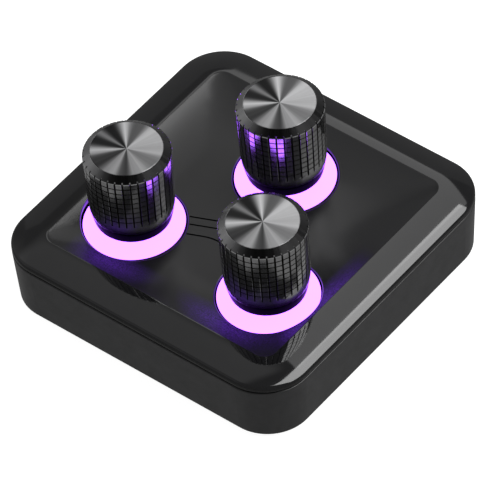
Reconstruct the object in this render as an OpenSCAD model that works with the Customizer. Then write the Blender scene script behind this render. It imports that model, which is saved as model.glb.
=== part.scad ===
// Macro keypad with three push knobs.
// Millimetres, +Z up. The origin is the centre of the footprint, on the surface that the feet stand on.
// The single knob and the socket are at the back (+Y), the pair of knobs at the front (-Y).

/* [Case] */
// Side of the square case at the shadow gap
case_w = 67.9; // [66:0.1:90]
// Radius of the case's outer corners
case_corner_r = 9.5; // [8:0.5:14]
// How far the tray's walls lean in at the bottom, on each side
wall_draft = 0.65; // [0:0.05:1.5]
// Thickness of the tray's walls
wall_t = 1.8; // [1.2:0.1:2.4]
// Thickness of the tray's floor
tray_floor_t = 1.6; // [1.2:0.1:3]
// Chamfer round the tray's lower edge
tray_chamfer = 0.3; // [0.1:0.1:0.8]
// Radius of the tray's upper outer edge, at the shadow gap
tray_edge_r = 0.25; // [0.1:0.05:0.5]
// Height of the shadow gap between tray and cover
reveal = 0.4; // [0.2:0.1:0.8]

/* [Cover] */
// Thickness of the cover under the middle of the dish
cover_t = 2.0; // [1.6:0.1:3]
// Depth of the dish below the rim's crest
dish_depth = 1.7; // [0.8:0.1:3]
// Width of the rim, from the case's side to the crest
rim_w = 6.95; // [4:0.05:7.5]
// Height of the rim, from the cover's lower edge to the crest
rim_h = 2.2; // [1.8:0.1:4]
// How far the rim's pillowed top falls from the crest to the outer edge
rim_fall = 0.85; // [0.3:0.05:1.2]
// Radius of the rim's outer edge
rim_edge_r = 0.8; // [0.3:0.1:1]
// Radius of the dish's corners at the crest
dish_corner_r = 3.0; // [1:0.5:6]
// Distance over which the dish slopes from the crest to its flat floor
dish_slope_w = 11; // [6:0.5:14]
// How much the dish's corner radius grows per millimetre inwards
dish_corner_growth = 0.6; // [0:0.1:1]
// Thickness of the locating lip under the cover
lip_t = 1.0; // [0.8:0.1:2]
// Depth of the locating lip below the cover's plate
lip_h = 1.1; // [0.6:0.1:2]
// Width of the engraved lines
line_w = 0.34; // [0.2:0.02:0.5]
// Depth of the engraved lines
line_depth = 0.25; // [0.1:0.05:0.5]
// Distance between an arm's middle line and its line on the back knob's side
line_pitch = 1.9; // [1:0.05:2.4]
// Distance between the front arms' middle lines and their lines on the front side
front_line_pitch = 2.5; // [1:0.05:3]
// Angle of the front arms' lines to the front edge
arm_angle = 22.5; // [18:0.5:30]
// Radius of the engraved lines' bend between a front knob and the back knob
side_bend_r = 1.6; // [0.5:0.1:2]
// Radius of the engraved lines' bend between the front knobs
front_bend_r = 8; // [3:0.5:10]

/* [Knob places] */
// Distance from the crest at each side to the front knobs' light rings
ring_side_gap = 1.1; // [0.2:0.1:3]
// Distance from the crest at the front to the front knobs' light rings
ring_front_gap = 4.35; // [0.5:0.05:5]
// Distance from the crest at the back to the back knob's light ring
ring_back_gap = 4.25; // [1:0.05:5]

/* [Knob] */
// Diameter of the knob at its crown
knob_d = 16.9; // [15:0.1:20]
// Diameter where the cut grid ends
knob_waist_d = 16.5; // [14:0.1:19]
// Diameter of the knob's lower end
knob_foot_d = 14.8; // [13:0.1:18]
// Height of the knob
knob_h = 17.75; // [15:0.05:24]
// Height of the cut grid, from the crown down
knob_grid_h = 11.1; // [6:0.1:14]
// Height of the knob's bevel
knob_bevel_h = 1.1; // [0.3:0.05:2]
// Free height between the light ring and the knob
knob_gap = 2.25; // [1.2:0.05:4]
// Number of flutes round the knob
flute_count = 36; // [20:1:60]
// Width of one flute
flute_w = 0.3; // [0.15:0.05:0.6]
// Depth of one flute at the crown
flute_depth = 0.35; // [0.2:0.05:0.6]
// How far the flutes run on below the cut grid
flute_runout = 0.8; // [0.2:0.1:2]
// Diameter of the spun face
face_d = 13.8; // [10:0.1:15]
// Thickness of the spun face
face_t = 0.6; // [0.4:0.1:1.5]
// How far the spun face stands above the bevel's inner edge
face_proud = 0.05; // [0.02:0.01:0.2]
// Width of the flat land between the spun face and the bevel
face_land = 0.1; // [0.05:0.05:0.4]
// Diameter of the core inside the knob
core_d = 11; // [9:0.5:12]
// Thickness of the core's closed top, over the shaft's end
core_roof = 1.5; // [1:0.1:3]
// Length of the shaft's flat that stays below the core's flat bore
core_flat_gap = 0.5; // [0.2:0.1:2]

/* [Light ring] */
// Outer diameter of the light ring
ring_d = 19.6; // [18.5:0.1:22]
// Diameter of the hole in the light ring
ring_hole_d = 8.2; // [7.6:0.1:12]
// How far the light ring stands above the dish's floor
ring_proud = 0.12; // [0:0.02:0.5]
// Width of the light ring's flange under the cover
ring_flange_w = 1.35; // [0.8:0.05:2]
// Thickness of the light ring's flange
ring_flange_t = 1.0; // [0.6:0.1:1.5]
// Bevel round the light ring's outer edge
ring_bevel = 0.15; // [0.05:0.05:0.4]
// Number of LEDs under each light ring
led_count = 8; // [4:1:10]
// Side of one LED
led_w = 2.0; // [1.4:0.1:2.4]
// Height of one LED
led_h = 0.9; // [0.5:0.1:2]
// Distance from the knob's axis to the middle of each LED
led_orbit_r = 9.75; // [9.6:0.05:10.5]

/* [Encoder] */
// Width of the encoder, along X
encoder_w = 11.7; // [11:0.1:12.4]
// Depth of the encoder, along Y
encoder_d = 12.2; // [11.5:0.1:12.6]
// Height of the encoder's plastic housing
encoder_housing_h = 4.4; // [4.2:0.1:6]
// Thickness of the encoder's cast frame
encoder_frame_t = 1.6; // [1:0.1:2.5]
// Diameter of the encoder's bushing
bushing_d = 7; // [6.8:0.1:7.4]
// Height of the bushing above the frame
bushing_h = 5; // [4:0.5:7]
// Diameter of the encoder's shaft
shaft_d = 6; // [5.6:0.1:6.2]
// Length of the shaft above the frame
shaft_l = 15; // [12:0.5:17.5]
// Length of the flat on the shaft's end
shaft_flat_l = 8; // [5:0.5:9]
// Thickness of the shaft across its flat
shaft_flat_t = 4.5; // [4:0.1:5]
// Diameter of the shaft's stem, inside the rotor
stem_d = 3.8; // [3:0.1:4.4]
// Thickness of the stem across its flat
stem_flat_t = 3.1; // [2.6:0.1:3.2]
// Diameter of the rotor
rotor_d = 10; // [8:0.1:10.6]
// Height of the rotor
rotor_h = 1.9; // [1.2:0.1:2.2]
// Travel of the knob when it is pushed
press_travel = 0.5; // [0.3:0.05:0.6]
// Diameter of the snap dome
dome_d = 5.6; // [4:0.1:6.4]
// Height of the snap dome at rest
dome_h = 0.75; // [0.7:0.05:0.9]
// Thickness of the snap dome's metal
dome_t = 0.1; // [0.08:0.01:0.15]
// Thickness of the housing's floor under the snap dome
dome_floor_t = 0.4; // [0.3:0.05:0.6]
// Thickness of the frame's lugs
lug_t = 0.5; // [0.3:0.1:0.8]
// Width of the frame's lugs
lug_w = 2.1; // [1.5:0.1:3]
// Width of the encoder's pins
pin_w = 0.8; // [0.5:0.1:1]
// Thickness of the encoder's pins
pin_t = 0.3; // [0.2:0.05:0.5]
// Distance between neighbouring pins
pin_pitch = 2.5; // [2:0.1:3]
// Distance of the pins from the housing's side
pin_offset = 0.9; // [0.6:0.1:1.2]
// Height above the board at which the pins leave the housing
pin_h = 1.5; // [0.8:0.1:2.5]
// Length of the encoder's pins below the board
pin_out = 0.9; // [0.5:0.1:1.4]

/* [Board] */
// Thickness of the main board
board_t = 1.6; // [1:0.1:2]
// Height of the board above the tray's floor
board_lift = 1.8; // [1.6:0.1:4]
// Gap between the board's edge and the tray's walls
board_edge_gap = 1.4; // [0.8:0.1:2]
// Distance from the middle to the board's posts, along X
board_post_x = 11; // [9:0.5:13]
// Distance from the case's front and back to the board's posts
board_post_inset = 6.55; // [6:0.05:8]
// Diameter of the board's posts
board_post_d = 4.4; // [3.6:0.1:5]
// Diameter of the board screws' shanks
board_screw_d = 1.9; // [1.6:0.1:2.2]
// Length of the board screws' shanks
board_screw_l = 4; // [3:0.5:4.4]
// Diameter of the board screws' heads
board_head_d = 3.6; // [3:0.1:4]
// Height of the board screws' heads
board_head_h = 1.3; // [0.8:0.1:1.8]
// Side of the controller chip
chip_w = 7; // [4:0.5:8]
// Height of the controller chip
chip_h = 0.9; // [0.5:0.1:1.5]
// Width of the crystal, along X
crystal_w = 3.2; // [2:0.1:5]
// Depth of the crystal, along Y
crystal_d = 2.5; // [1.6:0.1:3.2]
// Height of the crystal
crystal_h = 0.8; // [0.5:0.1:1.2]
// Width of the regulator, along X
regulator_w = 2.9; // [2:0.1:4]
// Depth of the regulator, along Y
regulator_d = 1.6; // [1.2:0.1:2.5]
// Height of the regulator
regulator_h = 1.1; // [0.8:0.1:1.5]

/* [Socket] */
// Width of the socket's shell
socket_w = 8.94; // [8.9:0.01:9]
// Height of the socket's shell
socket_h = 3.26; // [3.2:0.01:3.3]
// Length of the socket's shell
socket_l = 7.35; // [6.5:0.05:9]
// Thickness of the socket's metal
socket_t = 0.3; // [0.2:0.05:0.35]
// How far the socket's mouth lies inside the tray's outer face
socket_inset = 0.6; // [0.2:0.1:1.2]
// Width of the socket's tongue
tongue_w = 6.7; // [6:0.1:7]
// Length of the socket's tongue
tongue_l = 6.4; // [5:0.1:6.6]
// Thickness of the socket's tongue
tongue_t = 0.7; // [0.5:0.05:0.8]

/* [Screws and feet] */
// Distance from the case's sides to the case screws and feet
corner_post_inset = 7.55; // [7:0.05:8.5]
// Diameter of the tray's corner posts
corner_post_d = 6.8; // [6:0.1:7]
// Height of the corner posts above the tray's floor
corner_post_h = 6.2; // [5:0.1:7.5]
// Diameter of the case screws' shanks
case_screw_d = 2.4; // [2:0.1:2.6]
// Length of the case screws' shanks
case_screw_l = 8; // [7:0.5:8.4]
// Diameter of the case screws' heads
case_head_d = 4.2; // [3.6:0.1:4.4]
// Height of the case screws' heads
case_head_h = 1.6; // [1:0.1:2]
// Free height between the case screws' heads and the feet
case_head_room = 0.5; // [0.2:0.1:1]
// Diameter of the rubber feet
foot_d = 8; // [6:0.5:9]
// Thickness of the rubber feet
foot_t = 1.8; // [1.4:0.1:3]
// Depth of the feet's recesses in the tray
foot_recess = 0.6; // [0.4:0.1:0.8]
// Chamfer round the feet's lower edges
foot_bevel = 0.3; // [0.1:0.1:0.8]

/* [Clearances] */
// Radial clearance of parts that slide into a hole
fit_gap = 0.05; // [0.02:0.01:0.1]
// Gap between moving parts that don't touch
free_gap = 0.2; // [0.1:0.05:0.4]
// Gap round parts that pass through a loose hole
loose_gap = 0.3; // [0.15:0.05:0.5]
// Gap between the cover's lip and the tray's walls
lip_gap = 0.15; // [0.05:0.05:0.3]
// Gap between the encoders' frames and the cover over them
seat_gap = 0.1; // [0.05:0.05:0.15]

/* [Hidden] */
$fn = 96;
// overlap that joins two shapes of one piece
eps = 0.01;
// how far a cut runs past the face that it opens
cut = 1;
// steps of the curved outlines
hull_fn = 32;
dish_layers = 9;
tray_edge_steps = 4;
rim_edge_steps = 6;
rim_pillow_steps = 10;
bend_steps = 10;
skirt_steps = 6;
// radius of the dot where the engraved lines meet, as a share of their width: it covers their ends
hub_share = 0.6;
// exponent of the skirt's curve: higher is rounder at the foot
skirt_curve = 1.8;
// cross recess of a screw, as shares of its head: width, slot and depth
cross_w = 0.55;
cross_slot = 0.14;
cross_depth = 0.35;

KNOB_NAMES = ["left", "right", "back"];
FOOT_NAMES = ["front_left", "front_right", "back_right", "back_left"];
CORNER_SIGNS = [[-1, -1], [1, -1], [1, 1], [-1, 1]];
KNOB_PARTS = ["light_ring", "ring_leds", "encoder_housing", "encoder_frame", "encoder_pins", "encoder_rotor",
              "encoder_shaft", "snap_dome", "knob_shell", "knob_face", "knob_core"];
CASE_PARTS = ["base_tray", "top_cover", "main_board", "controller_chip", "crystal", "regulator",
              "socket_shell", "socket_tongue", "board_screws", "case_screws"];

// Heights, from the table up: each follows from the pieces that stand under it.
z_tray = foot_t - foot_recess;
z_floor = z_tray + tray_floor_t;
z_board = z_floor + board_lift;
z_board_top = z_board + board_t;
z_housing_top = z_board_top + encoder_housing_h;
z_frame_top = z_housing_top + encoder_frame_t;
z_bushing_top = z_frame_top + bushing_h;
z_shaft_top = z_frame_top + shaft_l;
z_plate = z_frame_top + seat_gap;
z_dish = z_plate + cover_t;
z_crest = z_dish + dish_depth;
z_cover = z_crest - rim_h;
z_tray_rim = z_cover - reveal;
z_join = z_floor + corner_post_h;
z_ring = z_dish + ring_proud;
z_ring_under = z_frame_top + free_gap;
z_knob = z_ring + knob_gap;
z_knob_top = z_knob + knob_h;
z_crown = z_knob_top - knob_bevel_h;
z_waist = z_crown - knob_grid_h;
z_core = z_bushing_top + press_travel + loose_gap;
z_core_top = z_shaft_top + core_roof;

// Case widths
half_case = case_w / 2;
corner_post_xy = half_case - corner_post_inset;
board_post_y = half_case - board_post_inset;
corner_c = half_case - case_corner_r;
half_cavity = half_case - wall_t;
half_lip = half_cavity - lip_gap;
half_crest = half_case - rim_w;
half_board = half_cavity - board_edge_gap - wall_draft;
ring_r = ring_d / 2;
ring_flange_r = ring_r + ring_flange_w;
ring_flange_hole_r = led_orbit_r - led_w / 2;

// Knob places: the rings keep their distance from the crest.
front_knob_x = half_crest - ring_side_gap - ring_r;
front_knob_y = half_crest - ring_front_gap - ring_r;
back_knob_y = half_crest - ring_back_gap - ring_r;
KNOB_PLACES = [[-front_knob_x, -front_knob_y], [front_knob_x, -front_knob_y], [0, back_knob_y]];

// Case screws: the head sits in the post, above its foot's recess.
z_head_seat = z_tray + foot_recess + case_head_room + case_head_h;
z_case_screw_top = z_head_seat + case_screw_l;

// Encoder insides: the rotor hangs just under the frame, the dome lies under the shaft's stem.
z_rotor_top = z_housing_top - free_gap;
z_rotor = z_rotor_top - rotor_h;
z_dome = z_board_top + dome_floor_t;
z_dome_top = z_dome + dome_h;
z_stem = z_dome_top + fit_gap;
z_shoulder = z_rotor_top + free_gap + press_travel;
z_flat = z_shaft_top - shaft_flat_l;
cavity_r = rotor_d / 2 + free_gap;

// Encoder pins: three on the front side, two on the back side.
pin_y = encoder_d / 2 + pin_offset;
PIN_PLACES = concat([for (i = [-1:1]) [i * pin_pitch, -pin_y]], [for (i = [-1, 1]) [i * pin_pitch, pin_y]]);

// USB socket
socket_back_y = half_case - wall_draft - socket_inset - socket_l;
z_socket = z_board_top + socket_h / 2;

// ---- Shared shapes ----

// A square plate with true round corners, from z0 to z1.
module rounded_plate(half, r, z0, z1) {
    translate([0, 0, z0]) linear_extrude(z1 - z0) {
        square([2 * half, 2 * (half - r)], center = true);
        square([2 * (half - r), 2 * half], center = true);
        for (s = CORNER_SIGNS) translate(s * (half - r)) circle(r);
    }
}

// Carries a profile round a square with round corners. The profile's X is the distance from a corner's axis.
module sweep_round_square(half, r) {
    side = 2 * (half - r);
    for (i = [0:3]) rotate(90 * i) {
        translate([half - r, half - r, 0]) rotate_extrude(angle = 90) children();
        translate([half - r, side / 2, 0]) rotate([90, 0, 0]) linear_extrude(side) children();
    }
}

// A vertical cylinder from z0 to z1.
module rod(r, z0, z1) {
    translate([0, 0, z0]) cylinder(r = r, h = z1 - z0);
}

// A box centred on X and Y, from z0 to z1.
module block(w, d, z0, z1) {
    translate([-w / 2, -d / 2, z0]) cube([w, d, z1 - z0]);
}

// A vertical rod with a flat on its back side, t thick across the flat.
module flat_rod(r, t, z0, z1) {
    difference() {
        rod(r, z0, z1);
        translate([-2 * r, t - r, z0 - cut]) cube([4 * r, 2 * r, z1 - z0 + 2 * cut]);
    }
}

// Points along an arc round c, from angle a0 to angle a1.
function arc_points(c, r, a0, a1, steps) =
    [for (i = [0:steps]) let (a = a0 + (a1 - a0) * i / steps) c + r * [cos(a), sin(a)]];

// Copies its children to every knob, or to every corner post, or to every board post.
module at_knobs() { for (p = KNOB_PLACES) translate(p) children(); }
module at_corners() { for (s = CORNER_SIGNS) translate(s * corner_post_xy) children(); }
module at_board_posts() {
    for (s = CORNER_SIGNS) translate([s.x * board_post_x, s.y * board_post_y]) children();
}

// ---- Case ----

// The tray's wall in section: drafted outside with a rounded upper edge, straight inside.
module tray_wall_profile() {
    lean = atan2(wall_draft, z_tray_rim - z_tray - tray_chamfer);
    edge_c = [case_corner_r - tray_edge_r * (tan(lean) + 1 / cos(lean)), z_tray_rim - tray_edge_r];
    polygon(concat([[0, z_tray], [case_corner_r - wall_draft - tray_chamfer, z_tray],
                    [case_corner_r - wall_draft, z_tray + tray_chamfer]],
                   arc_points(edge_c, tray_edge_r, -lean, 90, tray_edge_steps),
                   [[case_corner_r - wall_t, z_tray_rim], [case_corner_r - wall_t, z_floor], [0, z_floor]]));
}

// The USB socket's outline, grown by a gap, between two places along Y.
module socket_slot(gap, y0, y1) {
    r = socket_h / 2 + gap;
    w = socket_w / 2 - socket_h / 2;
    translate([0, y1, z_socket]) rotate([90, 0, 0]) linear_extrude(y1 - y0) {
        for (x = [-w, w]) translate([x, 0]) circle(r);
        square([2 * w, 2 * r], center = true);
    }
}

module base_tray() {
    color("#1b1b1d") difference() {
        union() {
            sweep_round_square(half_case, case_corner_r) tray_wall_profile();
            block(2 * corner_c, 2 * corner_c, z_tray, z_floor);
            at_corners() rod(corner_post_d / 2, z_tray, z_join);
            at_board_posts() rod(board_post_d / 2, z_tray, z_board);
        }
        at_corners() {
            rod(foot_d / 2 + fit_gap, z_tray - cut, z_tray + foot_recess);
            rod(case_head_d / 2 + loose_gap / 2, z_tray - cut, z_head_seat);
            rod(case_screw_d / 2 + loose_gap / 2, z_tray, z_join + cut);
        }
        at_board_posts() rod(board_screw_d / 2, z_board_top - board_screw_l - loose_gap, z_board + cut);
        socket_slot(loose_gap, half_cavity - cut, half_case + cut);
    }
}

// The rim in section: an upright side, a round edge and a pillowed top that ends at the crest.
// The pillow is an arc round a centre straight under the crest, and the round edge meets it smoothly.
module rim_profile() {
    run = rim_w - rim_edge_r;
    pillow_r = (run * run + rim_fall * rim_fall) / (2 * rim_fall);
    pillow_c = [case_corner_r - rim_w, z_crest - pillow_r];
    edge_c = pillow_c + [run, sqrt(pow(pillow_r - rim_edge_r, 2) - run * run)];
    edge_a = atan2(edge_c.y - pillow_c.y, run);
    pillow = arc_points(pillow_c, pillow_r, edge_a, 90, rim_pillow_steps);
    polygon(concat([[0, z_crest], [0, z_cover], [case_corner_r, z_cover]],
                   arc_points(edge_c, rim_edge_r, 0, edge_a, rim_edge_steps),
                   [for (i = [1:rim_pillow_steps]) pillow[i]]));
}

// The dish: a smooth bowl that is deepest in the middle, and square with round corners at the crest.
// Its layers lie half a step off the crest, so that its slope passes through the crest.
module dish_cutter() {
    hull() for (i = [0:dish_layers]) {
        t = (i - 0.5) / (dish_layers - 0.5);
        inward = dish_slope_w * t;
        rise = dish_depth * pow(1 - t, 2);
        rounded_plate_hull(half_crest - inward, dish_corner_r + dish_corner_growth * inward, z_dish + rise);
    }
}

// One layer of the dish, as thin as a sheet.
module rounded_plate_hull(half, r, z) {
    for (s = CORNER_SIGNS) translate([s.x * (half - r), s.y * (half - r), z])
        cylinder(r = r, h = eps, $fn = hull_fn);
}

// Cuts a flat outline into the dish, line_depth deep and open to above.
module engrave() {
    translate([0, 0, z_dish - line_depth]) linear_extrude(line_depth + dish_depth) children();
}

// A straight line from one place to another.
module straight_line(from, to) {
    d = to - from;
    engrave() translate(from) rotate(atan2(d.y, d.x)) translate([0, -line_w / 2]) square([norm(d), line_w]);
}

// A line from one place, round a bend of radius r at a corner, and on to another place, as one outline.
module bent_line(from, corner, to, r) {
    u = (from - corner) / norm(from - corner);
    v = (to - corner) / norm(to - corner);
    half_angle = acos(u * v) / 2;
    middle = corner + (u + v) / norm(u + v) * r / sin(half_angle);
    // directions from the bend's middle to its two ends
    n0 = (corner + u * r / tan(half_angle) - middle) / r;
    n1 = (corner + v * r / tan(half_angle) - middle) / r;
    a0 = atan2(n0.y, n0.x);
    a1 = a0 + sign(n0.x * n1.y - n0.y * n1.x) * (180 - 2 * half_angle);
    half_w = line_w / 2;
    outer_arc = arc_points(middle, r + half_w, a0, a1, bend_steps);
    inner_arc = arc_points(middle, r - half_w, a1, a0, bend_steps);
    engrave() polygon(concat([from + half_w * n0], outer_arc, [to + half_w * n1, to - half_w * n1], inner_arc,
                             [from - half_w * n0]));
}

// Engraved lines: three leave each knob. The middle ones meet, the outer ones bend round to the next knob.
module engraved_lines() {
    hub = [0, (back_knob_y - 2 * front_knob_y) / 3];
    along = [cos(arm_angle), sin(arm_angle)];
    across = [-along.y, along.x];
    reach = front_knob_x / along.x - ring_r / 2;
    back_start = [0, back_knob_y - ring_r / 2];
    for (side = [-1, 1]) {
        to_side = function(p) [-side * p.x, p.y];
        start = hub - reach * along;
        back_side = start + line_pitch * across;
        front_side = start - front_line_pitch * across;
        corner_x = -line_pitch;
        side_corner = [corner_x, back_side.y + (corner_x - back_side.x) * tan(arm_angle)];
        front_corner = [0, front_side.y - front_side.x * tan(arm_angle)];
        straight_line(to_side(start), hub);
        bent_line(to_side(back_side), to_side(side_corner), to_side([corner_x, back_start.y]), side_bend_r);
        if (side > 0) bent_line(front_side, front_corner, [-front_side.x, front_side.y], front_bend_r);
    }
    straight_line(back_start, hub);
    engrave() translate(hub) circle(hub_share * line_w);
}

module top_cover() {
    color("#0c0c0e") difference() {
        union() {
            sweep_round_square(half_case, case_corner_r) rim_profile();
            block(2 * corner_c, 2 * corner_c, z_cover, z_crest);
            rounded_plate(half_lip, case_corner_r - wall_t, z_plate, z_cover);
            difference() {
                rounded_plate(half_lip, case_corner_r - wall_t, z_plate - lip_h, z_plate);
                rounded_plate(half_lip - lip_t, case_corner_r - wall_t - lip_t,
                              z_plate - lip_h - cut, z_plate);
            }
            at_corners() rod(corner_post_d / 2, z_join, z_plate);
        }
        dish_cutter();
        at_knobs() rod(ring_r + loose_gap, z_plate - cut, z_crest + cut);
        at_corners() rod(case_screw_d / 2, z_join - cut, z_case_screw_top + loose_gap);
        engraved_lines();
    }
}

module main_board() {
    color("#0f3b2a") difference() {
        rounded_plate(half_board, case_corner_r - wall_t, z_board, z_board_top);
        at_corners() rod(corner_post_d / 2 + loose_gap, z_board - cut, z_board_top + cut);
        at_board_posts() rod(board_screw_d / 2 + fit_gap, z_board - cut, z_board_top + cut);
        at_knobs() for (p = PIN_PLACES) translate(p)
            rod(pin_w / 2 + loose_gap, z_board - cut, z_board_top + cut);
        at_knobs() lugs(loose_gap, z_board - cut, z_board_top + cut);
    }
}

module controller_chip() {
    color("#202124") translate([0, -front_knob_y - chip_w])
        block(chip_w, chip_w, z_board_top, z_board_top + chip_h);
}

module crystal() {
    color("silver") translate([0, -front_knob_y])
        block(crystal_w, crystal_d, z_board_top, z_board_top + crystal_h);
}

module regulator() {
    color("#202124") translate([0, -board_post_y])
        block(regulator_w, regulator_d, z_board_top, z_board_top + regulator_h);
}

module socket_shell() {
    color("silver") difference() {
        socket_slot(0, socket_back_y, socket_back_y + socket_l);
        socket_slot(-socket_t, socket_back_y + socket_t, socket_back_y + socket_l + cut);
    }
}

module socket_tongue() {
    color("#2a2a2c") translate([0, socket_back_y + socket_t + tongue_l / 2, 0])
        block(tongue_w, tongue_l, z_socket - tongue_t / 2, z_socket + tongue_t / 2);
}

// A pan-head screw: shank up from the head's seat, or down with up = -1.
module screw(shank_d, shank_l, head_d, head_h, z_seat, up) {
    if (up > 0) {
        rod(shank_d / 2, z_seat - eps, z_seat + shank_l);
        screw_head(head_d, z_seat - head_h, z_seat, z_seat - head_h);
    } else {
        rod(shank_d / 2, z_seat - shank_l, z_seat + eps);
        screw_head(head_d, z_seat, z_seat + head_h, z_seat + head_h);
    }
}

// A screw's head with a cross recess cut in from its outer face.
module screw_head(d, z0, z1, z_face) {
    deep = cross_depth * (z1 - z0);
    difference() {
        rod(d / 2, z0, z1);
        for (a = [0, 90]) rotate(a) block(cross_w * d, cross_slot * d, z_face - deep, z_face + deep);
    }
}

module board_screws() {
    color("silver") at_board_posts()
        screw(board_screw_d, board_screw_l, board_head_d, board_head_h, z_board_top, -1);
}

module case_screws() {
    color("silver") at_corners()
        screw(case_screw_d - 2 * fit_gap, case_screw_l, case_head_d, case_head_h, z_head_seat, 1);
}

module foot() {
    r = foot_d / 2;
    color("#151515") rotate_extrude()
        polygon([[0, 0], [r - foot_bevel, 0], [r, foot_bevel], [r, foot_t], [0, foot_t]]);
}

// ---- Knob and encoder: each is drawn on its own axis ----

// The frame's two lugs, grown by a gap.
module lugs(gap, z0, z1) {
    for (s = [-1, 1]) translate([s * (encoder_w + lug_t) / 2, 0])
        block(lug_t + 2 * gap, lug_w + 2 * gap, z0, z1);
}

module encoder_housing() {
    color("#1d1d20") difference() {
        block(encoder_w, encoder_d, z_board_top, z_housing_top);
        rod(cavity_r, z_rotor - free_gap, z_housing_top + cut);
        rod(dome_d / 2 + free_gap, z_dome, z_housing_top);
    }
}

module encoder_frame() {
    color("silver") difference() {
        union() {
            block(encoder_w, encoder_d, z_housing_top, z_frame_top);
            rod(bushing_d / 2, z_frame_top - eps, z_bushing_top);
            lugs(0, z_board - pin_out, z_frame_top);
        }
        rod(shaft_d / 2 + fit_gap, z_housing_top - cut, z_bushing_top + cut);
    }
}

// Each pin comes straight out of the housing's side and bends down through the board.
module encoder_pins() {
    color("goldenrod") for (p = PIN_PLACES) translate(p) {
        block(pin_w, pin_t, z_board - pin_out, z_board_top + pin_h);
        translate([0, -sign(p.y) * pin_offset / 2, 0])
            block(pin_w, pin_offset, z_board_top + pin_h - pin_t, z_board_top + pin_h);
    }
}

module encoder_rotor() {
    color("#e0e0dc") difference() {
        rod(rotor_d / 2, z_rotor, z_rotor_top);
        flat_rod(stem_d / 2 + fit_gap, stem_flat_t + 2 * fit_gap, z_rotor - cut, z_rotor_top + cut);
    }
}

module encoder_shaft() {
    color("silver") {
        difference() {
            rod(shaft_d / 2, z_shoulder, z_shaft_top);
            translate([-shaft_d, shaft_flat_t - shaft_d / 2, z_flat])
                cube([2 * shaft_d, shaft_d, shaft_flat_l + cut]);
        }
        flat_rod(stem_d / 2, stem_flat_t, z_stem, z_shoulder + eps);
    }
}

// A domed disc of spring metal.
module snap_dome() {
    rise = dome_h - dome_t;
    bend_r = (pow(dome_d / 2, 2) + rise * rise) / (2 * rise);
    color("silver") intersection() {
        difference() {
            translate([0, 0, z_dome_top - bend_r]) sphere(bend_r);
            translate([0, 0, z_dome_top - bend_r]) sphere(bend_r - dome_t);
        }
        rod(dome_d / 2, z_dome, z_dome_top + cut);
    }
}

module ring_leds() {
    color("white") for (i = [0:led_count - 1]) rotate(360 * i / led_count) translate([led_orbit_r, 0, 0])
        block(led_w, led_w, z_board_top, z_board_top + led_h);
}

module light_ring() {
    color("#ffccff") rotate_extrude() polygon([
        [ring_hole_d / 2, z_ring_under], [ring_flange_hole_r, z_ring_under],
        [ring_flange_hole_r, z_plate - ring_flange_t], [ring_flange_r, z_plate - ring_flange_t],
        [ring_flange_r, z_plate], [ring_r, z_plate], [ring_r, z_ring - ring_bevel],
        [ring_r - ring_bevel, z_ring], [ring_hole_d / 2, z_ring]]);
}

// The knob's outline in section: bevel, straight grid side, and a skirt that curves in to the foot.
module knob_profile() {
    skirt_in = (knob_waist_d - knob_foot_d) / 2;
    skirt = [for (i = [0:skirt_steps]) let (t = i / skirt_steps)
        [knob_foot_d / 2 + skirt_in * (1 - pow(1 - t, skirt_curve)), z_knob + (z_waist - z_knob) * t]];
    z_land = z_knob_top - face_proud;
    polygon(concat([[0, z_knob]], skirt,
                   [[knob_d / 2, z_crown], [face_d / 2 + face_land, z_land], [0, z_land]]));
}

module knob_shell() {
    color("#141416") difference() {
        rotate_extrude() knob_profile();
        rod(core_d / 2, z_knob - cut, z_core_top);
        rod(face_d / 2 + fit_gap / 2, z_knob_top - face_t, z_knob_top + cut);
        for (i = [0:flute_count - 1]) rotate(360 * i / flute_count)
            translate([knob_d / 2 - flute_depth, -flute_w / 2, z_waist - flute_runout])
                cube([flute_depth + cut, flute_w, knob_h]);
    }
}

module knob_face() {
    color("#b8b8bc") rod(face_d / 2, z_knob_top - face_t, z_knob_top);
}

// The core's bore is round up to the shaft's flat, and D-shaped above.
module knob_core() {
    z_grip = z_flat + core_flat_gap;
    color("#2b2b2e") difference() {
        rod(core_d / 2 - fit_gap / 2, z_core, z_core_top);
        flat_rod(shaft_d / 2 + fit_gap / 2, shaft_flat_t + fit_gap, z_grip, z_shaft_top + eps);
        rod(shaft_d / 2 + fit_gap / 2, z_core - cut, z_grip + eps);
    }
}

// ---- Nodes ----

module knob_part(part) {
    if (part == "light_ring") light_ring();
    if (part == "ring_leds") ring_leds();
    if (part == "encoder_housing") encoder_housing();
    if (part == "encoder_frame") encoder_frame();
    if (part == "encoder_pins") encoder_pins();
    if (part == "encoder_rotor") encoder_rotor();
    if (part == "encoder_shaft") encoder_shaft();
    if (part == "snap_dome") snap_dome();
    if (part == "knob_shell") knob_shell();
    if (part == "knob_face") knob_face();
    if (part == "knob_core") knob_core();
}

base_tray();
top_cover();
main_board();
controller_chip();
crystal();
regulator();
socket_shell();
socket_tongue();
board_screws();
case_screws();
for (i = [0:3])
    translate(CORNER_SIGNS[i] * corner_post_xy) foot();
for (i = [0:2], part = KNOB_PARTS)
    translate(KNOB_PLACES[i]) knob_part(part);
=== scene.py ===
import math

import bmesh
import bpy
import numpy as np
from mathutils import Matrix, Quaternion, Vector
from mathutils.geometry import delaunay_2d_cdt


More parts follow.
